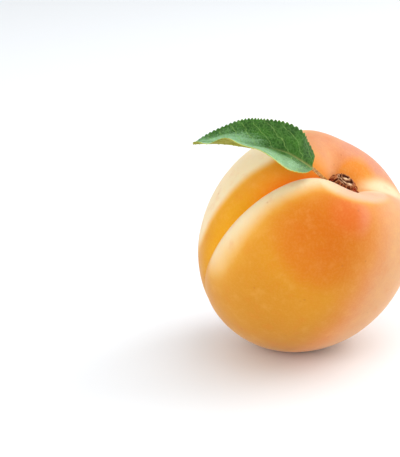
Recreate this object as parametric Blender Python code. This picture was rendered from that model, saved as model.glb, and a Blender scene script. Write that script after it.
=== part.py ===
"""An apricot as picked: one fruit, the woody stub of its stem and one leaf on its stalk.

Metres, +Z up. The fruit rests on a small flat spot, whose centre is the origin. In the fruit's
own frame +Z runs out of the stem cavity, +X points to the suture and +Y to the broad lobe.
"""
import math

import bmesh
import bpy
from mathutils import Matrix, Vector

# How the fruit rests: its centre above the flat spot, and the turn of its stem axis
FRUIT_CENTRE = Vector((0.00314, -0.00365, 0.02596))
HEADING = math.radians(-32.0)       # compass direction in which the stem axis leans
LEAN = math.radians(31.9)           # lean of the stem axis from upright
SPIN = math.radians(-122.2)         # turn of the suture about the stem axis

# Body of the fruit; depths and rises are fractions of the radius, angles run from the stem axis
RADIUS = 0.02556
WIDTH_ACROSS_SUTURE = 0.9215        # width from lobe to lobe over the width along the suture
LENGTH = 1.1194                     # length along the stem axis over the width
CAVITY_DEPTH, CAVITY_ANGLE, CAVITY_POWER = 0.302, 0.307, 1.6
CAVITY_TILT = 0.06                  # the cavity opens a little towards the narrow lobe
SHOULDER_DROP, SHOULDER_ANGLE = 0.054, 0.50
BLEND = 0.10                        # how softly the suture side turns into the back

# Suture: a crease between two lobes, from the cavity down one side
SUTURE_DEPTH_TOP, SUTURE_REACH = 0.105, 0.90
SUTURE_DEPTH_SIDE, SUTURE_SIDE_ANGLE, SUTURE_SIDE_SPAN = 0.075, 1.25, 0.70
SUTURE_WIDTH, SUTURE_ROUNDING = 0.091, 0.2
LOBE_RISE, LOBE_ANGLE, LOBE_SPAN = 0.068, 0.90, 0.70
LOPSIDED = 0.049                    # the narrow lobe stands prouder than the broad one
LOPSIDED_SHOULDER, LOPSIDED_ANGLE, LOPSIDED_SPAN = 0.026, 0.70, 0.50

# Valley on the cavity's rim, opposite the suture
VALLEY_DEPTH, VALLEY_ANGLE, VALLEY_SPAN = 0.11, 0.45, 0.33
VALLEY_SIDE, VALLEY_WIDTH = -0.07, 0.27

FRUIT_SEGMENTS, FRUIT_RINGS = 64, 40
SEGMENT_CROWDING = 0.6              # draws the segments towards the suture
RING_CROWDING = 1.2                 # draws the rings towards the cavity

# Stem stub, in the fruit's own frame. It keeps a small gap to the floor of the cavity.
STUB_FLOOR = (0.0003, 0.0010, 0.0018, 0.0026)   # radii of the rings that follow the floor
STUB_CLEARANCE = 0.00070            # from the floor up to them
# Share of the way from the last of them up to the rim, and radius there
STUB_SIDE = ((0.30, 0.00275), (0.55, 0.00295), (0.75, 0.00290), (0.90, 0.00255), (1.0, 0.00225))
STUB_RIM, STUB_LEAN = 0.0224, Vector((0.0012, -0.0001))
STUB_END = ((0.0225, 0.0019), (0.0222, 0.0014))     # the sunken end: height, radius
STUB_SEGMENTS = 20
STUB_LOBES = ((3, 0.06, 0.9), (7, 0.04, 0.2))   # count, share of the radius, phase

# Leaf: its stalk and midrib from the stub to the tip, measured from the fruit's centre
STALK = ((0.0059, -0.0084, 0.0192), (0.0054, -0.0090, 0.0198), (0.0039, -0.0101, 0.0213))
MIDRIB = ((0.0014, -0.0131, 0.0241), (-0.0013, -0.0148, 0.0265), (-0.0044, -0.0153, 0.0284),
          (-0.0084, -0.0152, 0.0294), (-0.0125, -0.0142, 0.0296), (-0.0183, -0.0118, 0.0298),
          (-0.0230, -0.0095, 0.0293), (-0.0261, -0.0081, 0.0288))
STALK_STATIONS, BLADE_STATIONS = 8, 26
STALK_RADIUS = 0.00036
HALF_WIDTH = 0.0070                 # of each half blade, at its broadest
NEAR_TAPERS = ((0.56, 0.22), (0.28, 0.06))  # how much the near half narrows at its base, fading
BROADEST = 0.42                     # share of the blade's length from its base
BASE_ROUNDNESS = 0.42               # power of the rise from the base
TIP_DRAW, TIP_FROM = 0.40, 0.72     # how far the last part is drawn in to a point
TIP_CUT = 0.985                     # share of the length at which the point is rounded off
# Rise of each half blade from level: what it settles to, what is added at the base, and the
# share of the length over which that fades
FAR_SLOPE = (math.radians(60), math.radians(30), 0.15)
NEAR_SLOPE = (math.radians(58), math.radians(-124), 0.38)
NEAR_TIP_SLOPE, NEAR_TIP_FROM = math.radians(-50), 0.78     # added to the near half at the tip
MARGIN_DROOP = math.radians(10)     # how far each half bends down towards its margin
BLADE_THICKNESS = 0.0004
RIB_SPREAD = 0.0007                 # how far the midrib swells into the blade
MARGIN_THINNING = 0.55
STRIPS = 4                          # strips in each half blade
CURVE_STEPS = 24                    # fine steps from one given point of a curve to the next
FLOOR_HALVINGS = 40                 # in the search for the floor of the cavity


def material(name, colour, roughness):
    """Plain Principled finish."""
    finish = bpy.data.materials.new(name)
    finish.use_nodes = True
    shader = finish.node_tree.nodes["Principled BSDF"]
    shader.inputs["Base Color"].default_value = (*colour, 1.0)
    shader.inputs["Roughness"].default_value = roughness
    shader.inputs["Metallic"].default_value = 0.0
    return finish


def add_object(name, mesh, finish, collection):
    """Object of a mesh, shaded smooth, in its collection."""
    mesh.materials.append(finish)
    mesh.shade_smooth()
    thing = bpy.data.objects.new(name, mesh)
    collection.objects.link(thing)
    return thing


def bell(value, centre, span):
    """Smooth bump of height 1 about a centre."""
    return math.exp(-((value - centre) / span) ** 2)


def step(value, start, end):
    """0 before start, 1 after end, and smooth between them."""
    share = min(max((value - start) / (end - start), 0.0), 1.0)
    return share * share * (3.0 - 2.0 * share)


def loft(name, rings):
    """Closed mesh through rings of equally many points, with flat ends."""
    shell = bmesh.new()
    rows = [[shell.verts.new(point) for point in ring] for ring in rings]
    count = len(rows[0])
    for low, high in zip(rows, rows[1:]):
        for i in range(count):
            j = (i + 1) % count
            shell.faces.new((low[i], low[j], high[j], high[i]))
    shell.faces.new(reversed(rows[0]))
    shell.faces.new(rows[-1])
    bmesh.ops.recalc_face_normals(shell, faces=shell.faces)
    mesh = bpy.data.meshes.new(name)
    shell.to_mesh(mesh)
    shell.free()
    return mesh


def smooth_path(points, count):
    """Evenly spaced points and tangents along a smooth curve through the given points."""
    knots = [Vector(p) for p in points]
    ends = [2 * knots[0] - knots[1], *knots, 2 * knots[-1] - knots[-2]]
    fine = []
    for a, b, c, d in zip(ends, ends[1:], ends[2:], ends[3:]):
        for s in range(CURVE_STEPS):
            t = s / CURVE_STEPS
            fine.append(0.5 * (2 * b + (c - a) * t + (2 * a - 5 * b + 4 * c - d) * t ** 2
                               + (3 * b - a - 3 * c + d) * t ** 3))
    fine.append(knots[-1])
    run = [0.0]
    for p, q in zip(fine, fine[1:]):
        run.append(run[-1] + (q - p).length)
    path = []
    k = 0
    for i in range(count):
        goal = run[-1] * i / (count - 1)
        while k < len(fine) - 2 and run[k + 1] < goal:
            k += 1
        share = (goal - run[k]) / (run[k + 1] - run[k])
        path.append((fine[k].lerp(fine[k + 1], share), (fine[k + 1] - fine[k]).normalized()))
    return path


def skin_point(polar, azimuth):
    """Point of the skin at an angle from the stem axis and an angle round it from the suture."""
    x = math.sin(polar) * math.cos(azimuth)
    y = math.sin(polar) * math.sin(azimuth)
    front = 1.0 / (1.0 + math.exp(-x / BLEND))
    z = math.cos(polar)
    crease = math.exp(SUTURE_ROUNDING - math.hypot(y / SUTURE_WIDTH, SUTURE_ROUNDING))
    depth = (SUTURE_DEPTH_TOP * bell(polar, 0.0, SUTURE_REACH)
             + SUTURE_DEPTH_SIDE * bell(polar, SUTURE_SIDE_ANGLE, SUTURE_SIDE_SPAN))
    basin = math.acos(min(z * math.cos(CAVITY_TILT) - y * math.sin(CAVITY_TILT), 1.0))
    reach = 1.0
    reach -= CAVITY_DEPTH * math.exp(-(basin / CAVITY_ANGLE) ** CAVITY_POWER)
    reach -= SHOULDER_DROP * bell(polar, 0.0, SHOULDER_ANGLE)
    reach -= depth * crease * front
    reach += LOBE_RISE * bell(polar, LOBE_ANGLE, LOBE_SPAN) * (1.0 - crease) * front
    reach -= LOPSIDED * y
    reach -= LOPSIDED_SHOULDER * y * bell(polar, LOPSIDED_ANGLE, LOPSIDED_SPAN)
    reach -= (VALLEY_DEPTH * bell(polar, VALLEY_ANGLE, VALLEY_SPAN)
              * bell(y, VALLEY_SIDE, VALLEY_WIDTH) * (1.0 - front))
    return RADIUS * reach * Vector((x, WIDTH_ACROSS_SUTURE * y, LENGTH * z))


def make_fruit(collection, cutters):
    """Flesh and skin in one solid, cut by the surface that it rests on."""
    ball = bmesh.new()
    bmesh.ops.create_uvsphere(ball, u_segments=FRUIT_SEGMENTS, v_segments=FRUIT_RINGS, radius=1.0)
    for vert in ball.verts:
        polar = math.acos(max(-1.0, min(1.0, vert.co.z)))
        azimuth = math.atan2(vert.co.y, vert.co.x)
        polar = math.pi * (polar / math.pi) ** RING_CROWDING
        azimuth -= SEGMENT_CROWDING * math.sin(azimuth)
        vert.co = skin_point(polar, azimuth)
    mesh = bpy.data.meshes.new("apricot_fruit")
    ball.to_mesh(mesh)
    ball.free()
    skin = material("apricot_skin", (0.76, 0.30, 0.05), 0.55)
    fruit = add_object("apricot_fruit", mesh, skin, collection)

    bpy.ops.mesh.primitive_cube_add(size=4 * RADIUS, location=(0.0, 0.0, -2 * RADIUS))
    block = bpy.context.object
    block.name = "resting_surface"
    block.hide_render = True
    block.display_type = "WIRE"
    for holder in list(block.users_collection):
        holder.objects.unlink(block)
    cutters.objects.link(block)
    cut = fruit.modifiers.new("flat_spot", "BOOLEAN")
    cut.operation = "DIFFERENCE"
    cut.solver = "EXACT"
    cut.object = block
    return fruit


def above_floor(reach, turn):
    """Point at a distance from the stem axis, a small gap above the floor of the cavity."""
    azimuth = math.atan2(math.sin(turn) / WIDTH_ACROSS_SUTURE, math.cos(turn))
    low, high = 0.0, 2.0 * CAVITY_ANGLE
    for _ in range(FLOOR_HALVINGS):
        polar = (low + high) / 2
        low, high = (polar, high) if skin_point(polar, azimuth).xy.length < reach else (low, polar)
    return skin_point(polar, azimuth) + Vector((0.0, 0.0, STUB_CLEARANCE))


def make_stub(collection):
    """Broken-off woody stem: a lumpy peg that follows the cavity's floor and widens upwards."""
    rings = [[] for _ in (*STUB_FLOOR, *STUB_SIDE, *STUB_END)]
    for i in range(STUB_SEGMENTS):
        turn = 2 * math.pi * i / STUB_SEGMENTS
        lump = 1.0 + sum(share * math.sin(n * turn + phase) for n, share, phase in STUB_LOBES)
        out = lump * Vector((math.cos(turn), math.sin(turn), 0.0))
        column = [above_floor(reach, turn) for reach in STUB_FLOOR]
        foot = column[-1].z
        for share, radius in STUB_SIDE:
            column.append((share * STUB_LEAN).to_3d() + radius * out
                          + Vector((0.0, 0.0, foot + share * (STUB_RIM - foot))))
        for height, radius in STUB_END:
            column.append(STUB_LEAN.to_3d() + radius * out + Vector((0.0, 0.0, height)))
        for ring, point in zip(rings, column):
            ring.append(point)
    bark = material("stem_bark", (0.23, 0.09, 0.04), 0.8)
    return add_object("stem_stub", loft("stem_stub", rings), bark, collection)


def half_width(share):
    """Half width of the blade at a share of its length."""
    fall = BASE_ROUNDNESS * (1.0 - BROADEST) / BROADEST
    peak = BROADEST ** BASE_ROUNDNESS * (1.0 - BROADEST) ** fall
    drawn = 1.0 - TIP_DRAW * step(share, TIP_FROM, 1.0)
    return HALF_WIDTH * drawn * share ** BASE_ROUNDNESS * (1.0 - share) ** fall / peak


def make_leaf(collection):
    """Stalk and blade grown as one, folded along the midrib."""
    total = STALK_STATIONS + BLADE_STATIONS
    path = smooth_path(STALK + MIDRIB, total)
    rings = []
    for station, (point, tangent) in enumerate(path):
        share = (station - STALK_STATIONS + 1) / BLADE_STATIONS
        share = min(max(share, 0.0), TIP_CUT)
        near_taper = 1.0 - sum(size * math.exp(-share / fade) for size, fade in NEAR_TAPERS)
        width = max(half_width(share), STALK_RADIUS)
        level = tangent.cross(Vector((0.0, 0.0, 1.0))).normalized()
        above = level.cross(tangent)
        top, bottom = [], []
        for strip in range(-STRIPS, STRIPS + 1):
            out = abs(strip) / STRIPS
            side, (settled, start, fade) = (1.0, FAR_SLOPE) if strip > 0 else (-1.0, NEAR_SLOPE)
            slope = settled + start * math.exp(-share / fade) - MARGIN_DROOP * out
            if strip < 0:
                slope += NEAR_TIP_SLOPE * step(share, NEAR_TIP_FROM, 1.0)
            reach = width * out * (1.0 if strip > 0 else near_taper)
            along = side * math.cos(slope) * level + math.sin(slope) * above
            facing = math.cos(slope) * above - side * math.sin(slope) * level
            if strip == 0:
                facing = above
            rib = (STALK_RADIUS - BLADE_THICKNESS / 2) * bell(out * width, 0.0, RIB_SPREAD)
            half = (BLADE_THICKNESS / 2 + rib) * (1.0 - MARGIN_THINNING * out ** 3)
            centre = point + reach * along
            top.append(centre + half * facing)
            bottom.append(centre - half * facing)
        rings.append(top + bottom[::-1])
    green = material("leaf_green", (0.10, 0.28, 0.08), 0.5)
    return add_object("leaf", loft("leaf", rings), green, collection)


def main():
    for thing in list(bpy.data.objects):
        bpy.data.objects.remove(thing)
    pieces = bpy.data.collections.new("apricot")
    cutters = bpy.data.collections.new("cutters")
    bpy.context.scene.collection.children.link(pieces)
    bpy.context.scene.collection.children.link(cutters)

    stem_axis = bpy.data.objects.new("stem_axis", None)
    pieces.objects.link(stem_axis)
    turn = (Matrix.Rotation(HEADING, 4, "Z") @ Matrix.Rotation(LEAN, 4, "Y")
            @ Matrix.Rotation(SPIN, 4, "Z"))
    stem_axis.matrix_world = Matrix.Translation(FRUIT_CENTRE) @ turn

    fruit = make_fruit(pieces, cutters)
    stub = make_stub(pieces)
    for grown in (fruit, stub):
        grown.parent = stem_axis
    leaf = make_leaf(pieces)
    leaf.location = FRUIT_CENTRE


main()
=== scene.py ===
"""An apricot as it comes off the tree: the fruit, the woody stub of its stem and one leaf.

The pieces are made in the order in which they hold together. The fruit comes first, then the
stub that stands in its cavity, then the leaf on its stalk, and last the table and the light.
"""
import math

import bmesh
import bpy
from mathutils import Matrix, Vector, noise
from mathutils.bvhtree import BVHTree


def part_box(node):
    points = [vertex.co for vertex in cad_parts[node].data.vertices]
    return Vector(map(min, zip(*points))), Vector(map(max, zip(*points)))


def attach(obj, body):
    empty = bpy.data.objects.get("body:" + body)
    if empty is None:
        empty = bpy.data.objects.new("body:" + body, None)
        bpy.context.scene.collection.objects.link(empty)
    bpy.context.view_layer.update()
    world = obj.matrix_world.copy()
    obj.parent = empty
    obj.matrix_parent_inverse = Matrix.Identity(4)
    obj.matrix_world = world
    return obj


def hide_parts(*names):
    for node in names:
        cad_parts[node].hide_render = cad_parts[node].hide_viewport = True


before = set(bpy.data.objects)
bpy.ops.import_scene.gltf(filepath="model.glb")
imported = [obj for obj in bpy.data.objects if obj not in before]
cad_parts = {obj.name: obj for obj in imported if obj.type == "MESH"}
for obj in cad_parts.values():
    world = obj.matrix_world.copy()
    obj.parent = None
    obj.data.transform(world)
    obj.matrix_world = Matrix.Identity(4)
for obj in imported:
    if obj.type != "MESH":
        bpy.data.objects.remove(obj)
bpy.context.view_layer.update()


# ---------------------------------------------------------------------------------------------
# The fruit. Flesh and downy skin, grown as one piece about a stone that doesn't show. Its two
# lobes meet in a crease, the suture, that runs from the stem's cavity down one side, and its own
# weight has pressed a small flat spot where it rests.

FRUIT_SIZES = {
    "Radius": 0.02556,
    "Width": 0.9215,                # from lobe to lobe, over the width along the suture
    "Length": 1.1194,               # along the stem axis, over the width
    "Cavity Depth": 0.302,          # depths and rises are shares of the radius
    "Cavity Angle": 0.307,          # angles run from the stem axis, in radians
    "Cavity Steepness": 1.6,
    "Cavity Tilt": 0.06,            # the cavity opens a little towards the narrow lobe
    "Shoulder Drop": 0.054,
    "Suture Depth Top": 0.105,
    "Suture Depth Side": 0.075,
    "Suture Width": 0.091,
    "Suture Line": 0.005,           # the fine seam at the bottom of the crease
    "Lobe Rise": 0.068,
    "Lopsided": 0.049,              # the narrow lobe stands prouder than the broad one
    "Lopsided Shoulder": 0.026,
    "Valley Depth": 0.11,           # dip in the cavity's rim, opposite the suture
    "Valley Side": -0.07,
    "Unevenness": 0.006,
    "Puckers": 0.004,               # small wrinkles along the lips of the crease
    "Blossom Scar": 0.014,
}
# Middle and reach of each swelling or hollow, in radians from the stem axis
CREASE_TOP, CREASE_SIDE = (0.0, 0.90), (1.25, 0.70)
SHOULDERS, LOBES, LOPSIDED = (0.0, 0.50), (0.90, 0.70), (0.70, 0.50)
VALLEY, SADDLE = (0.45, 0.33), (0.52, 0.36)
SCAR_REACH, SCAR_TIP_REACH = 0.045, 0.018
# Reach across the suture's plane, as a share of the radius
VALLEY_ACROSS, SADDLE_ACROSS, SEAM_ACROSS = 0.27, 0.17, 0.010
# Where the pale lips come in and where they fade out, paler skin partly painted as a highlight:
# across the suture's plane in shares of the radius, and down from the stem axis in radians
NEAR_LIP, NEAR_LIP_FADE, NEAR_LIP_TOP = (0.0, 0.07), (0.05, 0.43), (0.30, 0.50)
NEAR_LIP_WIDENS, NEAR_LIP_WIDENING = (0.9, 1.5), 0.14
NEAR_LIP_DULLS, NEAR_LIP_DULLING = (1.2, 1.6), 0.33
FAR_LIP, FAR_LIP_FADE, FAR_LIP_TOP = (0.10, 0.29), (0.52, 0.92), (0.60, 0.85)
LIPS_END, COLLAR_FADE = (1.60, 2.1), (0.41, 0.57)
CREASE_ROUNDING = 0.2               # of the bottom of the crease, over its width
FRONT_EDGE = 0.10                   # softness of the turn from the suture's side to the back
RIPPLE_SCALE, PUCKER_SCALE = 2.2, 16.0
SEGMENTS, RINGS = 288, 180
POLE_DRAW, CREASE_DRAW = 1.2, 0.6   # how much finer the mesh is at the cavity and the crease

STEM_HEADING = math.radians(-32.0)  # compass direction in which the stem axis leans
STEM_LEAN = math.radians(31.9)
SUTURE_SPIN = math.radians(-122.2)

# Where the deepest orange and the reddest patch lie, in the fruit's own frame, and the wall of
# the cavity that gets painted shade, a deeper orange
DEEPEST = Vector((0.38, 0.64, 0.67))
REDDEST, SHADED_CAVITY_WALL = Vector((0.20, 0.55, 0.81)), Vector((-0.20, -0.12, 0.97))
SKIN = {
    "ochre": (197, 130, 27), "crease low": (226, 162, 10), "salmon": (222, 130, 72),
    "shaded pink": (206, 139, 122), "shoulder": (226, 178, 146), "red": (218, 101, 34),
    "cavity shade orange": (231, 137, 32), "lit cavity peach": (238, 160, 116),
    "lip margin": (231, 175, 70), "cream": (229, 211, 172), "lit top cream": (246, 234, 200),
    "sunny cream": (226, 180, 150), "pore": (238, 186, 112), "fleck": (176, 84, 40),
    "blossom scar": (96, 58, 30), "down": (255, 236, 214),
}
# Colours that come in over others: where on its mask each sets in and where it is full, and how
# much it covers
SKIN_COATS = {
    "orange": ((210, 138, 23), -0.4, 0.5, 1.0),
    "deep orange": ((206, 104, 8), 0.84, 1.0, 0.9),
    "ripe patch": ((216, 152, 38), 0.35, 0.75, 0.2),
    "lit crease high": ((250, 144, 22), 0.30, 0.75, 1.0),
    "peach": ((219, 161, 114), -0.10, 0.40, 1.0),
    "pale blotch": ((222, 168, 118), 0.0, 0.25, 0.45),
    "dark blotch": ((202, 112, 90), 0.0, 0.25, 0.35),
    "rosy shoulder": ((208, 154, 126), 0.15, 0.45, 1.0),
    "pink red": ((228, 130, 110), -0.20, 0.0, 1.0),
    "light dapple": ((240, 190, 110), 0.0, 0.22, 0.10),
    "dark dapple": ((214, 108, 24), 0.0, 0.22, 0.16),
}


class Field:
    """A number or an arrow in a node tree, so that a rule of growth reads as arithmetic."""

    def __init__(self, tree, socket):
        self.tree, self.socket = tree, socket

    def node(self, kind, operation, *values):
        node = self.tree.nodes.new(kind)
        node.operation = operation
        for index, value in values:
            plug(self.tree, value, node.inputs[index])
        return Field(self.tree, next(socket for socket in node.outputs if socket.enabled))

    def maths(self, operation, *others):
        return self.node("ShaderNodeMath", operation, *enumerate((self, *others)))

    def arrow(self, operation, *others):
        return self.node("ShaderNodeVectorMath", operation, *enumerate((self, *others)))

    def is_arrow(self):
        return self.socket.type == "VECTOR"

    def __add__(self, other):
        return self.arrow("ADD", other) if self.is_arrow() else self.maths("ADD", other)

    def __sub__(self, other):
        return self.arrow("SUBTRACT", other) if self.is_arrow() else self.maths("SUBTRACT", other)

    def __mul__(self, other):
        if self.is_arrow():
            return self.node("ShaderNodeVectorMath", "SCALE", (0, self), ("Scale", other))
        return other * self if is_arrow(other) else self.maths("MULTIPLY", other)

    def __rsub__(self, other):
        return self * -1.0 + other

    def __truediv__(self, other):
        return self.maths("DIVIDE", other)

    def __rtruediv__(self, other):
        return self ** -1.0 * other

    def __pow__(self, other):
        return self.maths("POWER", other)

    def __neg__(self):
        return self * -1.0

    __radd__, __rmul__ = __add__, __mul__

    def exp(self):
        return self.maths("EXPONENT")

    def part(self, axis):
        """One part of an arrow, by its axis."""
        split = self.tree.nodes.new("ShaderNodeSeparateXYZ")
        plug(self.tree, self, split.inputs[0])
        return Field(self.tree, split.outputs["XYZ".index(axis)])


def is_arrow(value):
    return isinstance(value, Field) and value.is_arrow()


def plug(tree, value, socket):
    """Feeds a socket from a field, or sets it to a plain value."""
    if isinstance(value, Field):
        tree.links.new(value.socket, socket)
    else:
        socket.default_value = value


def add_node(tree, kind, inputs=None, **settings):
    """A node with its settings and inputs filled in."""
    node = tree.nodes.new(kind)
    for name, value in settings.items():
        setattr(node, name, value)
    for name, value in (inputs or {}).items():
        plug(tree, value, node.inputs[name])
    return node


def field(tree, kind, inputs=None, output=0, **settings):
    """The output of a new node, as a field."""
    return Field(tree, add_node(tree, kind, inputs, **settings).outputs[output])


def arrow_of(tree, x, y, z):
    return field(tree, "ShaderNodeCombineXYZ", {"X": x, "Y": y, "Z": z})


def bell(value, centre, span):
    """A smooth bump of height 1 about a centre."""
    away = (value - centre) / span
    return (-(away * away)).exp()


def ramp(value, start, end):
    """0 before start, 1 after end, and smooth between them."""
    tree = value.tree
    return field(tree, "ShaderNodeMapRange", {"Value": value, "From Min": start, "From Max": end},
                 interpolation_type="SMOOTHSTEP")


def ripple(tree, place, scale, detail=2.0, roughness=0.5):
    """Soft random unevenness from -0.5 to 0.5."""
    return field(tree, "ShaderNodeTexNoise", {"Vector": place, "Scale": scale, "Detail": detail,
                                              "Roughness": roughness}) - 0.5


def growth_tree(name, sizes):
    """A Geometry Nodes tree with a named input for each size, and those inputs as fields."""
    tree = bpy.data.node_groups.new(name, "GeometryNodeTree")
    for way in ("INPUT", "OUTPUT"):
        tree.interface.new_socket("Geometry", in_out=way, socket_type="NodeSocketGeometry")
    for label in sizes:
        tree.interface.new_socket(label, in_out="INPUT", socket_type="NodeSocketFloat")
    entry = tree.nodes.new("NodeGroupInput")
    return tree, Field(tree, entry.outputs["Geometry"]), {
        label: Field(tree, entry.outputs[label]) for label in sizes}


def keep_value(shape, name, value):
    """Stores a field on the points, where the finish can read it."""
    kind = "FLOAT_VECTOR" if value.is_arrow() else "FLOAT"
    store = add_node(shape.tree, "GeometryNodeStoreNamedAttribute",
                     {"Geometry": shape, "Name": name}, data_type=kind, domain="POINT")
    plug(shape.tree, value, store.inputs["Value"])
    return Field(shape.tree, store.outputs[0])


WELD = 1e-6                         # points nearer than this are one


def finish_tree(shape, place, finish):
    """Moves the points to their place, closes seams and poles, and sets the finish."""
    tree = shape.tree
    moved = field(tree, "GeometryNodeSetPosition", {"Geometry": shape, "Position": place})
    closed = field(tree, "GeometryNodeMergeByDistance", {"Geometry": moved, "Distance": WELD})
    smooth = field(tree, "GeometryNodeSetShadeSmooth", {"Geometry": closed})
    real = field(tree, "GeometryNodeRealizeInstances", {"Geometry": smooth})
    done = field(tree, "GeometryNodeSetMaterial", {"Geometry": real, "Material": finish})
    leave = tree.nodes.new("NodeGroupOutput")
    tree.links.new(done.socket, leave.inputs["Geometry"])


def grow(name, tree, sizes, start, finish):
    """Runs a tree on a starting mesh and keeps what comes out as a plain mesh object."""
    piece = bpy.data.objects.new(name, start)
    bpy.context.scene.collection.objects.link(piece)
    growth = piece.modifiers.new("growth", "NODES")
    growth.node_group = tree
    for socket in tree.interface.items_tree:
        if socket.in_out == "INPUT" and socket.name in sizes:
            growth[socket.identifier] = sizes[socket.name]
    graph = bpy.context.evaluated_depsgraph_get()
    grown = bpy.data.meshes.new_from_object(piece.evaluated_get(graph))
    piece.modifiers.clear()
    piece.data = grown
    grown.name = name
    if not grown.materials:
        grown.materials.append(finish)
    return piece


def face_outwards(mesh, weld=False):
    """Turns every face of a closed mesh outwards, after closing its seams where they are open."""
    shell = bmesh.new()
    shell.from_mesh(mesh)
    if weld:
        bmesh.ops.remove_doubles(shell, verts=shell.verts, dist=WELD)
    bmesh.ops.recalc_face_normals(shell, faces=shell.faces)
    shell.to_mesh(mesh)
    shell.free()


def light_of(red, green, blue):
    """A colour given in the usual 0 to 255, as light."""
    parts = []
    for value in (red, green, blue):
        share = value / 255
        parts.append(share / 12.92 if share <= 0.04045 else ((share + 0.055) / 1.055) ** 2.4)
    return (*parts, 1.0)


def tints_of(colours):
    """A table of colours, as light."""
    return {name: light_of(*colour) for name, colour in colours.items()}


def between(mask, low, high):
    """Colour that goes from low to high as the mask goes from 0 to 1."""
    tree = mask.tree
    mix = add_node(tree, "ShaderNodeMix", data_type="RGBA")
    for index, value in ((0, mask), (6, low), (7, high)):
        plug(tree, value, mix.inputs[index])
    return Field(tree, mix.outputs[2])


def laid(mask, ground, coat):
    """The ground with a coat of colour on it, from where its mask sets in to where it is full."""
    colour, sets_in, full, cover = coat
    return between(ramp(mask, sets_in, full) * cover, ground, light_of(*colour))


def kept_value(tree, name, arrow=False):
    """A value that the growth tree stored on the piece."""
    return field(tree, "ShaderNodeAttribute", attribute_name=name,
                 output="Vector" if arrow else "Fac")


def new_finish(name):
    """An empty material, its tree and its Principled shader."""
    finish = bpy.data.materials.new(name)
    finish.use_nodes = True
    tree = finish.node_tree
    return finish, tree, tree.nodes["Principled BSDF"]


def make_mottle():
    """Shader group: uneven growth at two scales, as masks, and both together as a height."""
    tree = bpy.data.node_groups.new("mottle", "ShaderNodeTree")
    for label in ("Coarse", "Fine", "Height"):
        tree.interface.new_socket(label, in_out="OUTPUT", socket_type="NodeSocketFloat")
    tree.interface.new_socket("Place", in_out="INPUT", socket_type="NodeSocketVector")
    for label in ("Coarse Scale", "Fine Scale", "Balance"):
        tree.interface.new_socket(label, in_out="INPUT", socket_type="NodeSocketFloat")
    entry = tree.nodes.new("NodeGroupInput")
    place, coarse_scale, fine_scale, balance = (Field(tree, socket) for socket in entry.outputs[:4])
    coarse = ripple(tree, place, coarse_scale, detail=3.0, roughness=0.55) + 0.5
    fine = ripple(tree, place, fine_scale, detail=2.0, roughness=0.6) + 0.5
    height = coarse * (1.0 - balance) + fine * balance
    leave = tree.nodes.new("NodeGroupOutput")
    for value, socket in zip((coarse, fine, height), leave.inputs):
        tree.links.new(value.socket, socket)
    return tree


mottle = make_mottle()


def mottled(tree, place, coarse_scale, fine_scale, balance):
    """The mottle group with its own sizes: coarse mask, fine mask and height."""
    group = add_node(tree, "ShaderNodeGroup", node_tree=mottle)
    for socket, value in zip(group.inputs, (place, coarse_scale, fine_scale, balance)):
        plug(tree, value, socket)
    return [Field(tree, socket) for socket in group.outputs]


def relief(tree, height, distance):
    """A Bump node's normal."""
    return field(tree, "ShaderNodeBump", {"Height": height, "Distance": distance,
                                          "Strength": 1.0})


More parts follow.
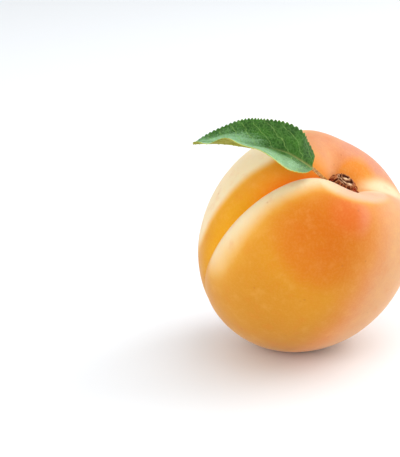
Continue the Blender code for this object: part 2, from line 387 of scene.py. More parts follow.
def make_skin():
    """Downy skin: yellow-orange ground, a pink blush on the sunny cheek, pale lips with a painted
    highlight, and specks.
    """
    finish, tree, shader = new_finish("apricot_skin")
    tint = tints_of(SKIN)
    place = field(tree, "ShaderNodeTexCoord", output="Object")
    own = kept_value(tree, "own_direction", arrow=True)
    crease, pale, basin, scar = (kept_value(tree, name) for name in (
        "crease", "pale", "basin", "blossom_scar"))
    broad, stipple, height = mottled(tree, place, coarse_scale=90.0, fine_scale=2000.0,
                                     balance=0.5)
    drift = ripple(tree, place, scale=45.0)
    aside, over = own.part("X"), own.part("Z")
    near, away = own.part("Y"), -own.part("Y")

    # Ochre low down, orange higher up, deepest where the near lobe swells most
    ground = laid(over + drift * 0.6, tint["ochre"], SKIN_COATS["orange"])
    swell = own.arrow("DOT_PRODUCT", DEEPEST)
    ground = laid(swell + drift * 0.20, ground, SKIN_COATS["deep orange"])
    ground = laid(broad, ground, SKIN_COATS["ripe patch"])
    # Painted light: high up, under the leaf, the crease is a brighter orange
    groove = laid(over, tint["crease low"], SKIN_COATS["lit crease high"])
    ground = between(crease.maths("MINIMUM", 1.0), ground, groove)

    # The sunny cheek: salmon where the blush sets in, then paler towards its edge, a painted sheen
    # of the down, and a duller pink with blotches on the far side
    far_side = ramp(away, 0.0, 0.30)
    uneven = drift * (0.16 + 0.8 * far_side) + (broad - 0.5) * (0.10 + 0.3 * far_side)
    blush = ramp(uneven + far_side * 0.35 - aside, -0.24 - 0.30 * far_side,
                 0.26 + 0.40 * far_side)
    flushed = laid(drift * 0.2 - aside, tint["salmon"], SKIN_COATS["peach"])
    flushed = between(far_side, flushed, tint["shaded pink"])
    blotches = ripple(tree, place, scale=150.0, detail=3.0) * far_side
    flushed = laid(blotches, flushed, SKIN_COATS["pale blotch"])
    flushed = laid(-blotches, flushed, SKIN_COATS["dark blotch"])
    # A rosy pink on the near lobe's upper shoulder, paler on top as painted light from above
    shoulder = bell(near, 0.13, 0.17) * ramp(over, 0.4, 0.75)
    rosy = laid(-aside, tint["shoulder"], SKIN_COATS["rosy shoulder"])
    flushed = between(shoulder * 0.85, flushed, rosy)
    colour = between(blush * 0.9, ground, flushed)

    # The reddest patch; painted shade, a deep orange, in the cavity and on its wall; and painted
    # light, a peach, on the cavity's side towards the suture
    core = ramp(own.arrow("DOT_PRODUCT", REDDEST) + drift * 0.06, 0.960, 1.0)
    red = laid(-aside, tint["red"], SKIN_COATS["pink red"])
    colour = between(core * 0.7, colour, red)
    wall = ramp(own.arrow("DOT_PRODUCT", SHADED_CAVITY_WALL) + drift * 0.02, 0.95, 0.99)
    orange = (basin + wall * 0.85).maths("MINIMUM", 0.95) * (1.0 - 0.8 * ramp(aside, 0.08, 0.26))
    colour = between(orange, colour, tint["cavity shade orange"])
    colour = between(basin * ramp(aside, 0.02, 0.22) * 0.6, colour, tint["lit cavity peach"])

    # Pale lips, partly paler skin and partly a painted highlight, with a yellow margin where they
    # run out into the orange
    colour = between(ramp(pale, 0.0, 0.55) * 0.6 * (1.0 - 0.6 * blush), colour,
                     tint["lip margin"])
    # Painted light: the cream is lighter on the far lobe's top, under the leaf
    cream = between(ramp(over, 0.40, 0.80) * far_side, tint["cream"], tint["lit top cream"])
    sunward = ramp(-aside, -0.46, -0.18) * ramp(near + drift * 0.1, 0.04, 0.20)
    cream = between(sunward, cream, tint["sunny cream"])
    colour = between(ramp(pale + (broad - 0.5) * 0.2, 0.20, 0.95) * 0.95, colour, cream)

    # Uneven ripening in small dapples, pores and a few flecks
    dapples = ripple(tree, place, scale=330.0, detail=4.0, roughness=0.6)
    colour = laid(dapples, colour, SKIN_COATS["light dapple"])
    colour = laid(-dapples, colour, SKIN_COATS["dark dapple"])
    pores = ramp(stipple, 0.42, 0.62)
    colour = between(pores * (0.05 + 0.08 * blush), colour, tint["pore"])
    flecks = field(tree, "ShaderNodeTexVoronoi", {"Vector": place, "Scale": 230.0})
    colour = between((1.0 - ramp(flecks, 0.03, 0.09)) * 0.30, colour, tint["fleck"])
    colour = between(scar, colour, tint["blossom scar"])

    tree.links.new(colour.socket, shader.inputs["Base Color"])
    rough = 0.52 + (stipple - 0.5) * 0.16 + scar * 0.3
    tree.links.new(rough.socket, shader.inputs["Roughness"])
    tree.links.new(relief(tree, height, distance=0.00006).socket, shader.inputs["Normal"])
    shader.inputs["Specular IOR Level"].default_value = 0.15
    shader.inputs["Subsurface Weight"].default_value = 0.15
    shader.inputs["Subsurface Radius"].default_value = (1.0, 0.45, 0.15)
    shader.inputs["Subsurface Scale"].default_value = 0.0015
    shader.inputs["Sheen Weight"].default_value = 0.35
    shader.inputs["Sheen Roughness"].default_value = 0.35
    shader.inputs["Sheen Tint"].default_value = tint["down"]
    return finish


def make_fruit_tree(finish):
    """Growth rule of the fruit, in its own frame: +Z out of the cavity, +X to the suture."""
    tree, _, size = growth_tree("fruit_growth", FRUIT_SIZES)
    ball = add_node(tree, "GeometryNodeMeshUVSphere", {"Segments": SEGMENTS, "Rings": RINGS,
                                                       "Radius": 1.0})
    shape = Field(tree, ball.outputs["Mesh"])
    spot = field(tree, "GeometryNodeInputPosition")

    # Angle from the stem axis and angle round it, with the mesh drawn towards cavity and suture
    polar = spot.part("Z").maths("ARCCOSINE")
    polar = math.pi * (polar / math.pi) ** POLE_DRAW
    azimuth = spot.part("Y").maths("ARCTAN2", spot.part("X"))
    azimuth = azimuth - CREASE_DRAW * azimuth.maths("SINE")
    x = polar.maths("SINE") * azimuth.maths("COSINE")
    y = polar.maths("SINE") * azimuth.maths("SINE")
    z = polar.maths("COSINE")
    direction = arrow_of(tree, x, y, z)

    # The crease and the cavity
    front = 1.0 / (1.0 + (x / -FRONT_EDGE).exp())
    across = y / size["Suture Width"]
    crease = (CREASE_ROUNDING - (across * across + CREASE_ROUNDING ** 2).maths("SQRT")).exp()
    crease = crease * front
    depth = (size["Suture Depth Top"] * bell(polar, *CREASE_TOP)
             + size["Suture Depth Side"] * bell(polar, *CREASE_SIDE))
    seam = bell(y, 0.0, SEAM_ACROSS) * front * ramp(depth, 0.01, 0.06)
    from_basin = (z * size["Cavity Tilt"].maths("COSINE")
                  - y * size["Cavity Tilt"].maths("SINE")).maths("ARCCOSINE")
    basin = (-((from_basin / size["Cavity Angle"]) ** size["Cavity Steepness"])).exp()
    valley = bell(polar, *VALLEY) * bell(y, size["Valley Side"], VALLEY_ACROSS) * (1.0 - front)
    scar = bell(polar, math.pi, SCAR_REACH)

    # Pale skin, partly painted as a highlight: the two lips of the crease, a collar round the
    # cavity and the saddle behind it
    fade_from, fade_to = NEAR_LIP_FADE
    fade_to = fade_to + NEAR_LIP_WIDENING * ramp(polar, *NEAR_LIP_WIDENS)
    near_lip = (ramp(y, *NEAR_LIP) * (1.0 - ramp(y, fade_from, fade_to))
                * ramp(polar, *NEAR_LIP_TOP)
                * (1.1 - NEAR_LIP_DULLING * ramp(polar, *NEAR_LIP_DULLS)))
    far_lip = ramp(-y, *FAR_LIP) * ramp(polar, *FAR_LIP_TOP) * (1.0 - ramp(-y, *FAR_LIP_FADE))
    lips = (near_lip + far_lip) * front * (1.0 - ramp(polar, *LIPS_END))
    collar = 1.0 - ramp(from_basin - 0.18 * x.maths("MAXIMUM", 0.0), *COLLAR_FADE)
    saddle = bell(y, -0.02, SADDLE_ACROSS) * bell(polar, *SADDLE) * (1.0 - front)
    pale = lips.maths("MAXIMUM", collar * ramp(y, 0.0, 0.12) * 0.95).maths("MAXIMUM", saddle)

    reach = (1.0 - size["Cavity Depth"] * basin
             - size["Shoulder Drop"] * bell(polar, *SHOULDERS)
             - depth * crease - size["Suture Line"] * seam
             + size["Lobe Rise"] * bell(polar, *LOBES) * (front - crease)
             - size["Lopsided"] * y
             - size["Lopsided Shoulder"] * y * bell(polar, *LOPSIDED)
             - size["Valley Depth"] * valley
             + size["Unevenness"] * ripple(tree, direction, RIPPLE_SCALE)
             + size["Puckers"] * ripple(tree, direction, PUCKER_SCALE, detail=3.0) * lips
             - size["Blossom Scar"] * scar * (1.0 - 1.6 * bell(polar, math.pi, SCAR_TIP_REACH)))
    place = arrow_of(tree, x, size["Width"] * y, size["Length"] * z) * (size["Radius"] * reach)

    for name, value in (("own_direction", direction), ("crease", crease * ramp(depth, 0.0, 0.08)),
                        ("pale", pale), ("basin", basin), ("blossom_scar", scar)):
        shape = keep_value(shape, name, value)
    finish_tree(shape, place, finish)
    return tree


skin = make_skin()
fruit = grow("fruit", make_fruit_tree(skin), FRUIT_SIZES, bpy.data.meshes.new("seed"), skin)
stem_axis = (Matrix.Rotation(STEM_HEADING, 4, "Z") @ Matrix.Rotation(STEM_LEAN, 4, "Y")
             @ Matrix.Rotation(SUTURE_SPIN, 4, "Z"))
fruit.data.transform(stem_axis)

# The fruit is set where the solid one is: same middle from side to side, same top, and pressed
# flat where it rests
low, high = (Vector(corner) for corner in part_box("apricot_fruit"))
places = [vert.co for vert in fruit.data.vertices]
own_low = Vector([min(place[axis] for place in places) for axis in range(3)])
own_high = Vector([max(place[axis] for place in places) for axis in range(3)])
fruit_centre = (low + high - own_low - own_high) / 2
fruit_centre.z = high.z - own_high.z
fruit.data.transform(Matrix.Translation(fruit_centre))
for vert in fruit.data.vertices:
    vert.co.z = max(vert.co.z, low.z)
face_outwards(fruit.data)
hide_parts("apricot_fruit")
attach(fruit, "root")


# ---------------------------------------------------------------------------------------------
# The stem stub. What stays of the stem when the fruit is pulled off: a short woody peg whose
# wrinkled bark spreads over the bottom of the cavity, and whose torn end shows rolled ridges.

STUB_SEGMENTS = 200
STUB_STEPS = 8                      # mesh rings from one point of its section to the next
CLEAR_ABOVE = 0.05                  # a height well over the cavity
COLLAR = 0.0030                     # reach of the spread bark over the cavity's floor
# Two tongues of it reach further: a broad one towards the leaf's stalk, a thin one away from it
COLLAR_TONGUES = ((0.0026, 0.0, 0.50), (0.0005, math.radians(180), 0.30))
COLLAR_LOBES = ((0.0002, 0.8, 5), (0.00012, 2.0, 11))   # reach, phase and number
COLLAR_LIFT, COLLAR_SINK = 0.00030, 0.00025
# Its section, from under the floor to its edge and in over its top: share of its reach, and
# height over the floor
COLLAR_OUTLINE = ((0.0, -COLLAR_SINK), (0.6, -COLLAR_SINK), (1.0, -COLLAR_SINK),
                  (0.97, 0.3 * COLLAR_LIFT), (0.85, 1.6 * COLLAR_LIFT))
FLARES = (0.50, 0.36)               # how far the foot is drawn out towards and from the leaf
STUB_LEAN = Vector((0.0012, -0.0001))   # how far its end stands off the fruit's axis
# Distance from its middle and height, from the neck over the rim and in over the torn end
STUB_OUTLINE = ((0.00285, 0.0199), (0.00300, 0.0207), (0.00285, 0.0214), (0.00250, 0.0216),
                (0.00245, 0.0220), (0.00225, 0.0224), (0.00190, 0.0225), (0.00150, 0.0221),
                (0.00105, 0.0222), (0.00055, 0.0221), (0.0, 0.0221))
NECK_REACH, NECK_HEIGHT = STUB_OUTLINE[0]
RIM_REACH, RIM_HEIGHT = STUB_OUTLINE[5]
RIM_WAVE, RIM_RISE = 0.08, 0.0015   # unevenness round it: share of its reach, and of height
RIM_WAVES = ((3.0, 1.0), (9.0, 1.2))    # how often it comes and goes, and how strongly
RIM_WIDTH = 0.0004
TORN_FROM, TORN_BLEND = 0.0216, 0.0003  # height above which the inner wood shows
RIDGE_RUN = Vector((0.67, 0.74))    # across the torn ridges of the end
RIDGE_PITCH, RIDGE_WANDER = 0.00115, 1.1
WRINKLES_ROUND, WRINKLES_UP = 6.5, 260.0
WANDER_SCALE, BREAK_SCALE, GRAIN_SCALE = 420.0, 1100.0, 3500.0
BARK_WRINKLE, BARK_GRAIN, END_RELIEF = 0.00022, 0.00009, 0.00036
SPREAD_FADE, SPREAD_FROM = 0.001, -0.0006   # where the bark turns reddish
BARK = {"wrinkle": (70, 28, 10), "spread bark": (158, 54, 20), "shaded end hollow": (78, 36, 18)}
BARK_COATS = {
    "bark": ((150, 76, 34), 0.20, 0.60, 1.0),
    "worn and lit ridge": ((216, 158, 106), 0.60, 0.95, 0.85),
    "end wood": ((168, 112, 74), 0.20, 0.60, 1.0),
    "end ridge": ((236, 198, 158), 0.55, 0.90, 1.0),
}

to_own = (Matrix.Translation(fruit_centre) @ stem_axis).inverted()
flesh = BVHTree.FromPolygons([to_own @ vert.co for vert in fruit.data.vertices],
                             [tuple(face.vertices) for face in fruit.data.polygons])


def floor_under(x, y):
    """Height of the cavity's floor above the fruit's middle, in the fruit's own frame."""
    return flesh.ray_cast(Vector((x, y, CLEAR_ABOVE)), Vector((0.0, 0.0, -1.0)))[0].z


def smooth_line(points, steps):
    """Points along a smooth curve through the given ones."""
    knots = [Vector(point) for point in points]
    ends = [2 * knots[0] - knots[1], *knots, 2 * knots[-1] - knots[-2]]
    line = []
    for a, b, c, d in zip(ends, ends[1:], ends[2:], ends[3:]):
        for step in range(steps):
            t = step / steps
            line.append(0.5 * (2 * b + (c - a) * t + (2 * a - 5 * b + 4 * c - d) * t ** 2
                               + (3 * b - a - 3 * c + d) * t ** 3))
    line.append(knots[-1])
    return line


middle_floor = floor_under(0.0, 0.0)
NECK_RISEN = (NECK_HEIGHT - middle_floor) / (RIM_HEIGHT - middle_floor)


def clamped(value):
    return min(max(value, 0.0), 1.0)


def stub_section(turn):
    """The stub's outline on one side, from under the floor, out, up and in over its torn end."""
    out = Vector((math.cos(turn), math.sin(turn), 0.0))
    collar = COLLAR + sum(size * math.exp(-(math.remainder(turn - middle, 2 * math.pi) / span) ** 2)
                          for size, middle, span in COLLAR_TONGUES)
    collar += sum(size * math.cos(count * turn - phase) for size, phase, count in COLLAR_LOBES)
    wave = 1.0 + RIM_WAVE * sum(strength * noise.noise(pace * out) for pace, strength in RIM_WAVES)
    points = []
    for share, lift in COLLAR_OUTLINE:
        place = share * collar * out
        points.append(place + Vector((0.0, 0.0, floor_under(place.x, place.y) + lift)))
    foot = points[0].z
    drawn = FLARES[0] * max(out.x, 0.0) ** 2 + FLARES[1] * max(-out.x, 0.0) ** 6
    for reach, height in STUB_OUTLINE:
        risen = (height - foot) / (RIM_HEIGHT - foot)
        height += RIM_RISE * (wave - 1.0) * reach / NECK_REACH
        reach *= 1.0 + drawn * max(1.0 - risen, 0.0) / (1.0 - NECK_RISEN)
        points.append((STUB_LEAN * risen).to_3d() + wave * reach * out
                      + Vector((0.0, 0.0, height)))
    return smooth_line(points, STUB_STEPS)


def make_bark():
    """Dry bark: dark in its wrinkles and pale on its ridges, partly its own wear and partly painted
    shade and highlight, reddish where it spreads.
    """
    finish, tree, shader = new_finish("stem_bark")
    tint = tints_of(BARK)
    place = field(tree, "ShaderNodeTexCoord", output="Object")
    ridge, torn, spread = (kept_value(tree, name) for name in ("ridge", "torn_end", "collar"))
    broad, grain, height = mottled(tree, place, coarse_scale=700.0, fine_scale=5200.0,
                                   balance=0.6)
    # Painted shade in the wrinkles and painted highlight on the ridges, over the bark's own colours
    wood = laid(ridge + (grain - 0.5) * 0.5, tint["wrinkle"], BARK_COATS["bark"])
    wood = laid(ridge + (grain - 0.5) * 0.6, wood, BARK_COATS["worn and lit ridge"])
    wood = between(ramp(broad, 0.35, 0.6) * (0.15 + 0.75 * spread), wood, tint["spread bark"])
    # The torn end: painted shade in its hollows and painted highlight on its ridges, over the paler
    # inner wood
    rubbed = ridge + (grain - 0.5) * 0.4
    end = laid(rubbed, tint["shaded end hollow"], BARK_COATS["end wood"])
    end = laid(rubbed, end, BARK_COATS["end ridge"])
    colour = between(torn, wood, end)
    tree.links.new(colour.socket, shader.inputs["Base Color"])
    tree.links.new((0.72 + grain * 0.2).socket, shader.inputs["Roughness"])
    tree.links.new(relief(tree, height, distance=0.00010).socket, shader.inputs["Normal"])
    shader.inputs["Specular IOR Level"].default_value = 0.15
    return finish


rows = [stub_section(2 * math.pi * i / STUB_SEGMENTS) for i in range(STUB_SEGMENTS)]
stub_mesh = bpy.data.meshes.new("stub")
steps = len(rows[0])
stub_mesh.from_pydata([place for row in rows for place in row], [], [
    (i * steps + k, j * steps + k, j * steps + k + 1, i * steps + k + 1)
    for i in range(STUB_SEGMENTS) for j in [(i + 1) % STUB_SEGMENTS] for k in range(steps - 1)])
face_outwards(stub_mesh, weld=True)

# Wrinkled bark outside, rolled ridges and a raised rim on the torn end
kept = {name: stub_mesh.attributes.new(name, "FLOAT", "POINT").data
        for name in ("ridge", "torn_end", "collar")}
moves = []
for index, vert in enumerate(stub_mesh.vertices):
    lean = STUB_LEAN * (vert.co.z - middle_floor) / (RIM_HEIGHT - middle_floor)
    out = vert.co.xy - lean
    turn, reach = out.normalized(), out.length
    torn = clamped((RIM_REACH - reach) / TORN_BLEND) * clamped((vert.co.z - TORN_FROM) / TORN_BLEND)
    wrinkle = 1.0 - 2.2 * abs(noise.noise(Vector((
        WRINKLES_ROUND * turn.x, WRINKLES_ROUND * turn.y, WRINKLES_UP * vert.co.z))))
    rim = math.exp(-((reach - RIM_REACH) / RIM_WIDTH) ** 2)
    phase = RIDGE_RUN.dot(out) / RIDGE_PITCH + RIDGE_WANDER * noise.noise(vert.co * WANDER_SCALE)
    rolled = max(0.5 + 0.5 * math.cos(2 * math.pi * phase), 0.9 * rim)
    rolled *= 0.75 + 0.5 * noise.noise(vert.co * BREAK_SCALE)
    ridge = (1.0 - torn) * wrinkle + torn * rolled
    grain = noise.noise(vert.co * GRAIN_SCALE)
    relief_size = BARK_WRINKLE + torn * (END_RELIEF - BARK_WRINKLE)
    moves.append(vert.normal * (relief_size * (ridge - 0.5) + BARK_GRAIN * grain))
    spread = max((reach - NECK_REACH) / SPREAD_FADE, (SPREAD_FROM - out.x) / SPREAD_FADE)
    kept["ridge"][index].value = clamped(ridge)
    kept["torn_end"][index].value = torn
    kept["collar"][index].value = (1.0 - torn) * clamped(spread)
for vert, move in zip(stub_mesh.vertices, moves):
    vert.co += move
stub_mesh.transform(to_own.inverted())
stub_mesh.shade_smooth()
stub_mesh.materials.append(make_bark())
stub = bpy.data.objects.new("stub", stub_mesh)
bpy.context.scene.collection.objects.link(stub)
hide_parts("stem_stub")
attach(stub, "root")


# ---------------------------------------------------------------------------------------------
# The leaf. Blade and stalk are one growth: the stalk runs on as the midrib, the blade folds
# along it, and side veins leave it for a margin of small rounded teeth.

# Stalk and midrib from the stub to the tip, measured from the fruit's middle
STALK = ((0.0080, -0.0065, 0.0176), (0.0065, -0.0073, 0.0181), (0.0052, -0.0089, 0.0195),
         (0.0038, -0.0101, 0.0210))
MIDRIB = ((0.0014, -0.0131, 0.0241), (-0.0013, -0.0148, 0.0265), (-0.0044, -0.0153, 0.0284),
          (-0.0084, -0.0152, 0.0294), (-0.0125, -0.0142, 0.0296), (-0.0183, -0.0118, 0.0298),
          (-0.0230, -0.0095, 0.0293), (-0.0261, -0.0081, 0.0288))
LEAF_SIZES = {
    "Blade Length": 0.0315,
    "Half Width": 0.0070,           # of each half blade, at its broadest
    "Broadest": 0.42,               # share of the blade's length from its base
    "Base Roundness": 0.49,
    "Tip Draw": 0.48,               # how far the last third is drawn in to a point
    "Thickness": 0.00022,
    "Stalk Radius": 0.00040,
    "Rib Height": 0.00036,          # of the midrib, under the blade
    "Rib Width": 0.00042,
    "Groove Width": 0.00028,        # of the midrib's furrow, on top
    "Near Taper": 0.62,             # the near half narrows this much towards its base
    "Near Taper Fade": 0.15,        # fades are shares of the blade's length
    "Near Lobe": 0.42,              # and this much more at its very base
    "Near Lobe Fade": 0.05,
    "Near Belly": 0.34,             # but swells this much a third of the way up
    "Near Belly At": 0.33,
    "Near Belly Span": 0.09,
    "Far Slope": math.radians(60),  # rise of each half from level along most of the blade
    "Far Slope At Base": math.radians(30),
    "Far Fade": 0.15,
    "Near Slope": math.radians(64),
    "Near Slope At Base": math.radians(-130),
    "Near Fade": 0.38,
    "Near Slope At Tip": math.radians(-25),
    "Margin Droop": math.radians(10),
    "Margin Wave": 0.0003,
    "Teeth": 37.0,
    "Tooth Length": 0.00050,
    "Side Veins": 8.5,
    "Vein Slant": 0.80,             # advance towards the tip over the way out to the margin
    "Vein Wander": 0.10,
    "Vein Width": 0.000062,
    "Vein Relief": 0.00008,
    "Net Size": 0.0008,             # mesh of the finest veins
    "Net Relief": 0.00005,
}
# Shares of the blade's length between which it opens from the stalk, its teeth start, its near
# half turns over and it is drawn in to the tip
BLADE_OPENS, TEETH_START = (0.0, 0.035), (0.03, 0.10)
NEAR_TURNS, TIP_NARROWS = (0.58, 0.80), (0.66, 0.98)
NET_LINE, NET_HOLLOW = (0.0, 0.14), (0.0, 0.45)     # shares of the net's mesh
MARGIN_WAVES = 21.0
LEAF_STATIONS, LEAF_STRIPS = 420, 180
ROUTE_STEPS = 24                    # points of the route from one given point to the next
LEAF = {
    "deep green": (26, 70, 4), "painted_sheen": (144, 182, 142), "far margin": (26, 58, 12),
    "net": (104, 152, 72), "vein": (150, 184, 96), "rib at base": (150, 150, 84),
    "near margin": (206, 196, 84), "dark below": (118, 118, 26), "vein below": (190, 190, 110),
    "rib below": (180, 176, 92), "stalk brown": (150, 92, 44),
}
LEAF_COATS = {
    "green": ((50, 102, 14), 0.3, 0.7, 1.0),
    "speckle": ((96, 142, 44), 0.4, 0.8, 0.35),
    "rib": ((110, 150, 84), 0.1, 0.5, 1.0),
    "light below": ((150, 146, 44), 0.3, 0.7, 1.0),
    "stalk tan": ((216, 166, 104), 0.35, 0.7, 1.0),
}


def make_leaf_green():
    """Leaf: deep green above with a painted pale sheen and fine veins, dull yellow-green below with
    painted bounce light.
    """
    finish, tree, shader = new_finish("leaf_green")
    tint = tints_of(LEAF)
    place = field(tree, "ShaderNodeTexCoord", output="Object")
    across, along, veins, net, under, stalk, rib = (kept_value(tree, name) for name in (
        "across", "along", "veins", "net", "underside", "stalk", "midrib"))
    broad, fine, height = mottled(tree, place, coarse_scale=260.0, fine_scale=3200.0,
                                  balance=0.6)
    out = across.maths("ABSOLUTE")
    near = ramp(-across, 0.02, 0.12)
    top = laid(broad, tint["deep green"], LEAF_COATS["green"])
    top = laid(fine, top, LEAF_COATS["speckle"])

    # A painted sheen, pale bluish and in streaks, the reflection of the bright room, on the near
    # half and along the midrib to the tip
    streaks = ripple(tree, arrow_of(tree, across * 9.0, along * 3.0, 0.0), scale=1.0, detail=3.0)
    painted_sheen = bell(across, -0.85, 0.60) + bell(across, 0.06, 0.36) * ramp(along, 0.25, 0.70) * 1.3
    painted_sheen = painted_sheen + 0.28 * ramp(along, 0.40, 0.75) + 0.4 * ramp(along, 0.84, 0.97)
    painted_sheen = ramp(painted_sheen + (broad - 0.5) * 0.8 + (fine - 0.5) * 1.1 + streaks * 0.9, 0.15, 1.30)
    painted_sheen = painted_sheen * (0.30 + 0.70 * ramp(along, 0.03, 0.26))
    top = between(painted_sheen, top, tint["painted_sheen"])

    # Painted shade: the far half darkens towards its margin. The near one has a thin yellow edge,
    # partly a painted highlight
    margin = ramp(across, 0.35, 1.0) * (0.4 + 0.6 * bell(along, 0.38, 0.22))
    top = between(margin * 0.6, top, tint["far margin"])
    top = between(net * 0.32, top, tint["net"])
    top = between(veins * 0.52, top, tint["vein"])
    top = between(rib * 0.75, top, laid(along, tint["rib at base"], LEAF_COATS["rib"]))
    # The near half's thin yellow edge: partly the margin's own colour, partly a painted highlight
    top = between(ramp(out, 0.92, 0.99) * near * 0.8, top, tint["near margin"])

    # Underneath, a dull yellow-olive: partly the underside's own colour, partly painted orange
    # bounce light from the fruit
    below = laid(broad, tint["dark below"], LEAF_COATS["light below"])
    below = between((net * 0.3 + veins * 0.6).maths("MINIMUM", 1.0), below, tint["vein below"])
    below = between(rib * 0.7, below, tint["rib below"])
    colour = between(under, top, below)
    stem = laid(fine, tint["stalk brown"], LEAF_COATS["stalk tan"])
    colour = between(stalk, colour, stem)
    tree.links.new(colour.socket, shader.inputs["Base Color"])
    rough = 0.46 + fine * 0.12 + under * 0.22
    tree.links.new(rough.socket, shader.inputs["Roughness"])
    tree.links.new(relief(tree, height, distance=0.00004).socket, shader.inputs["Normal"])
    shader.inputs["Specular IOR Level"].default_value = 0.22
    shader.inputs["Subsurface Weight"].default_value = 0.25
    shader.inputs["Subsurface Radius"].default_value = (0.5, 1.0, 0.2)
    shader.inputs["Subsurface Scale"].default_value = 0.0008
    return finish


def make_leaf_tree(finish):
    """Growth rule of the leaf along its stalk and midrib."""
    tree, line, size = growth_tree("leaf_growth", LEAF_SIZES)
    line = field(tree, "GeometryNodeMeshToCurve", {"Mesh": line})
    line = field(tree, "GeometryNodeCurveSplineType", {"Curve": line},
                 spline_type="CATMULL_ROM")
    line = field(tree, "GeometryNodeSetSplineResolution", {"Geometry": line,
                                                           "Resolution": ROUTE_STEPS})
    total = field(tree, "GeometryNodeCurveLength", {"Curve": line})
    sheet = add_node(tree, "GeometryNodeMeshGrid", {
        "Size X": 1.0, "Size Y": 1.0, "Vertices X": LEAF_STATIONS, "Vertices Y": LEAF_STRIPS + 1})
    shape = Field(tree, sheet.outputs["Mesh"])
    spot = field(tree, "GeometryNodeInputPosition")
    run, around = spot.part("X") + 0.5, spot.part("Y") + 0.5
    walk = add_node(tree, "GeometryNodeSampleCurve", {"Curves": line, "Factor": run},
                    mode="FACTOR", use_all_curves=True)
    point, heading = (Field(tree, walk.outputs[name]) for name in ("Position", "Tangent"))

    # Share of the blade's length, and the way round its section: far margin, back, near margin
    share = (1.0 - (1.0 - run) * total / size["Blade Length"]).maths("MAXIMUM", 0.0)
    blade = ramp(share, *BLADE_OPENS)
    top = around.maths("LESS_THAN", 0.5)
    even = 1.0 - 2.0 * (2.0 * around - 1.0).maths("ABSOLUTE")
    bend = even * (math.pi / 2)
    across = even * blade + bend.maths("SINE") * (1.0 - blade)
    out = across.maths("ABSOLUTE")
    far = ramp(across, -0.0001, 0.0001)

    # Its outline: widest at the broadest share, round at the base and drawn in to the tip
    fall = size["Base Roundness"] * (1.0 - size["Broadest"]) / size["Broadest"]
    peak = size["Broadest"] ** size["Base Roundness"] * (1.0 - size["Broadest"]) ** fall
    spread = size["Half Width"] * share ** size["Base Roundness"] * (1.0 - share) ** fall / peak
    spread = spread * (1.0 - size["Tip Draw"] * ramp(share, *TIP_NARROWS))
    foot = (1.0 - (1.0 - run * total / size["Stalk Radius"]).maths("MAXIMUM", 0.0) ** 2.0) ** 0.5
    stalk_radius = size["Stalk Radius"] * foot
    width = spread.maths("MAXIMUM", stalk_radius * (1.0 - blade))

    # Teeth on the margin, leaning towards the tip
    step = (share * size["Teeth"] + 0.35 * far).maths("FRACT") ** 1.35
    tooth = (step * math.pi).maths("SINE") ** 0.7
    toothed = ramp(share, *TEETH_START) * ramp(out, 0.80, 1.0) * ramp(spread, 0.0004, 0.002)
    toothed = toothed * (0.35 + 0.65 * (far + ramp(share, 0.25, 0.6)).maths("MINIMUM", 1.0))
    teeth = size["Tooth Length"] * (tooth - 0.35) * toothed
    narrowed = (size["Near Taper"] * (-share / size["Near Taper Fade"]).exp()
                + size["Near Lobe"] * (-share / size["Near Lobe Fade"]).exp()
                - size["Near Belly"] * bell(share, size["Near Belly At"], size["Near Belly Span"]))
    near_taper = 1.0 - (1.0 - far) * narrowed
    reach = width * out * near_taper + teeth

    # Side veins and the net between them
    advance = reach * size["Vein Slant"] * (1.0 + 0.35 * out) / size["Blade Length"]
    wander = ripple(tree, arrow_of(tree, share * 8.0, across * 3.0, 0.0), scale=1.0)
    wander = wander * size["Vein Wander"]
    count = (share - advance + wander) * size["Side Veins"] + 0.5 * far
    away = (count.maths("FRACT") - 0.5).maths("ABSOLUTE") * (0.7 / size["Side Veins"])
    vein = bell(away * size["Blade Length"], 0.0, size["Vein Width"])
    vein = vein * (1.0 - ramp(out, 0.80, 0.97)) * blade
    flat_place = arrow_of(tree, share * size["Blade Length"] / size["Net Size"],
                          across * width / size["Net Size"], 0.0)
    cells = field(tree, "ShaderNodeTexVoronoi", {"Vector": flat_place, "Scale": 1.0},
                  feature="DISTANCE_TO_EDGE")
    net = (1.0 - ramp(cells, *NET_LINE)) * blade
    quilt = ramp(cells, *NET_HOLLOW)
    rib = bell(reach, 0.0, size["Rib Width"]) * blade
    groove = bell(reach, 0.0, size["Groove Width"]) * blade

    # Each half rises from the midrib at its own slope
    far_slope = size["Far Slope"] + size["Far Slope At Base"] * (-share / size["Far Fade"]).exp()
    near_slope = (size["Near Slope"] + size["Near Slope At Base"]
                  * (-share / size["Near Fade"]).exp()
                  + size["Near Slope At Tip"] * ramp(share, *NEAR_TURNS))
    slope = far_slope * far + near_slope * (1.0 - far)
    slope = (slope - size["Margin Droop"] * out) * blade
    side = 2.0 * far - 1.0
    level = heading.arrow("CROSS_PRODUCT", (0.0, 0.0, 1.0)).arrow("NORMALIZE")
    above = level.arrow("CROSS_PRODUCT", heading)
    rise, lie = slope.maths("SINE"), slope.maths("COSINE")
    along = level * (lie * side) + above * rise
    tilt = slope * ramp(reach, 0.0, 0.0006)
    facing = above * tilt.maths("COSINE") - level * (tilt.maths("SINE") * side)

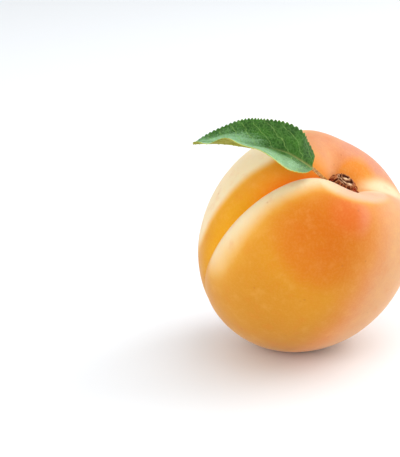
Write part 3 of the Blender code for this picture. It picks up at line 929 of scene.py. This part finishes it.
    # Thickness, with sunk veins above and raised ones below, and the round stalk before the blade
    wave = size["Margin Wave"] * (share * MARGIN_WAVES + far * 2.0).maths("SINE")
    wave = wave * out * out * blade
    sunk = (size["Vein Relief"] * vein + size["Net Relief"] * (1.0 - quilt)) * (
        1.0 - ramp(out, 0.85, 1.0))
    half = size["Thickness"] / 2.0 * (1.0 - out ** 8.0).maths("MAXIMUM", 0.0) ** 0.5
    taper = 1.0 - 0.75 * share
    above_by = half - sunk - 0.5 * size["Thickness"] * groove
    below_by = half + 0.7 * size["Vein Relief"] * vein + size["Rib Height"] * rib * taper + sunk
    tube = stalk_radius * bend.maths("COSINE").maths("MAXIMUM", 0.0)
    height = (above_by * top - below_by * (1.0 - top)) * blade + tube * (2.0 * top - 1.0) * (
        1.0 - blade)
    place = point + along * reach + facing * (height + wave)

    for name, value in (("across", across), ("along", share), ("veins", vein), ("net", net),
                        ("midrib", groove), ("underside", 1.0 - top), ("stalk", 1.0 - blade)):
        shape = keep_value(shape, name, value)
    finish_tree(shape, place, finish)
    return tree


route = bpy.data.meshes.new("leaf_route")
points = STALK + MIDRIB
route.from_pydata(points, [(i, i + 1) for i in range(len(points) - 1)], [])
green = make_leaf_green()
leaf = grow("leaf_blade", make_leaf_tree(green), LEAF_SIZES, route, green)
leaf.data.transform(Matrix.Translation(fruit_centre))
face_outwards(leaf.data)
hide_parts("leaf")
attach(leaf, "root")


# ---------------------------------------------------------------------------------------------
# The table, a plain pale sheet, and the soft light of a bright room with a window on each side
# and one overhead.

TABLE_HALF_WIDTH = 3.0
TABLE_COLOUR = (0.87, 0.90, 0.93, 1.0)
# Each window's place, width and height in metres, and its power in watts
WINDOWS = {
    "window_left": ((-0.50, -0.50, 0.30), 0.5, 0.6, 2.3),
    "window_right": ((0.60, 0.25, 0.40), 0.5, 0.6, 2.7),
    "window_above": ((0.28, 0.0, 0.75), 0.9, 0.6, 2.2),
}
ROOM_LIGHT = 0.78
CAMERA_DISTANCE = 0.2927
CAMERA_RISE = math.radians(20.0)
LENS, FILM = 108.0, 36.0
LOOK_LEFT, LOOK_UP = math.radians(5.07), math.radians(0.975)   # away from the fruit's middle

table = bpy.data.objects.new("table", bpy.data.meshes.new("table"))
bpy.context.scene.collection.objects.link(table)
surface = bmesh.new()
bmesh.ops.create_grid(surface, x_segments=1, y_segments=1, size=TABLE_HALF_WIDTH)
surface.to_mesh(table.data)
surface.free()
paper, _, paper_shader = new_finish("table_top")
paper_shader.inputs["Base Color"].default_value = TABLE_COLOUR
paper_shader.inputs["Roughness"].default_value = 0.6
table.data.materials.append(paper)

for name, (place, width, height, power) in WINDOWS.items():
    lamp = bpy.data.lights.new(name, "AREA")
    lamp.shape = "RECTANGLE"
    lamp.size, lamp.size_y = width, height
    lamp.energy = power
    window = bpy.data.objects.new(name, lamp)
    bpy.context.scene.collection.objects.link(window)
    window.location = place
    window.rotation_euler = (fruit_centre - Vector(place)).to_track_quat("-Z", "Y").to_euler()

sky = bpy.data.worlds.new("room")
sky.use_nodes = True
bpy.context.scene.world = sky
sky.node_tree.nodes["Background"].inputs["Color"].default_value = (1.0, 1.0, 1.0, 1.0)
sky.node_tree.nodes["Background"].inputs["Strength"].default_value = ROOM_LIGHT

view = bpy.data.cameras.new("camera")
view.sensor_fit = "HORIZONTAL"
view.sensor_width, view.lens = FILM, LENS
view.clip_start, view.clip_end = 0.01, 20.0
camera = bpy.data.objects.new("camera", view)
bpy.context.scene.collection.objects.link(camera)
level_view = Matrix.Rotation(math.pi / 2 - CAMERA_RISE, 3, "X")
turned = level_view @ Matrix.Rotation(LOOK_LEFT, 3, "Y") @ Matrix.Rotation(LOOK_UP, 3, "X")
camera.location = fruit_centre + CAMERA_DISTANCE * level_view.col[2]
camera.rotation_euler = turned.to_euler()
bpy.context.scene.camera = camera
bpy.context.scene.view_settings.view_transform = "Standard"
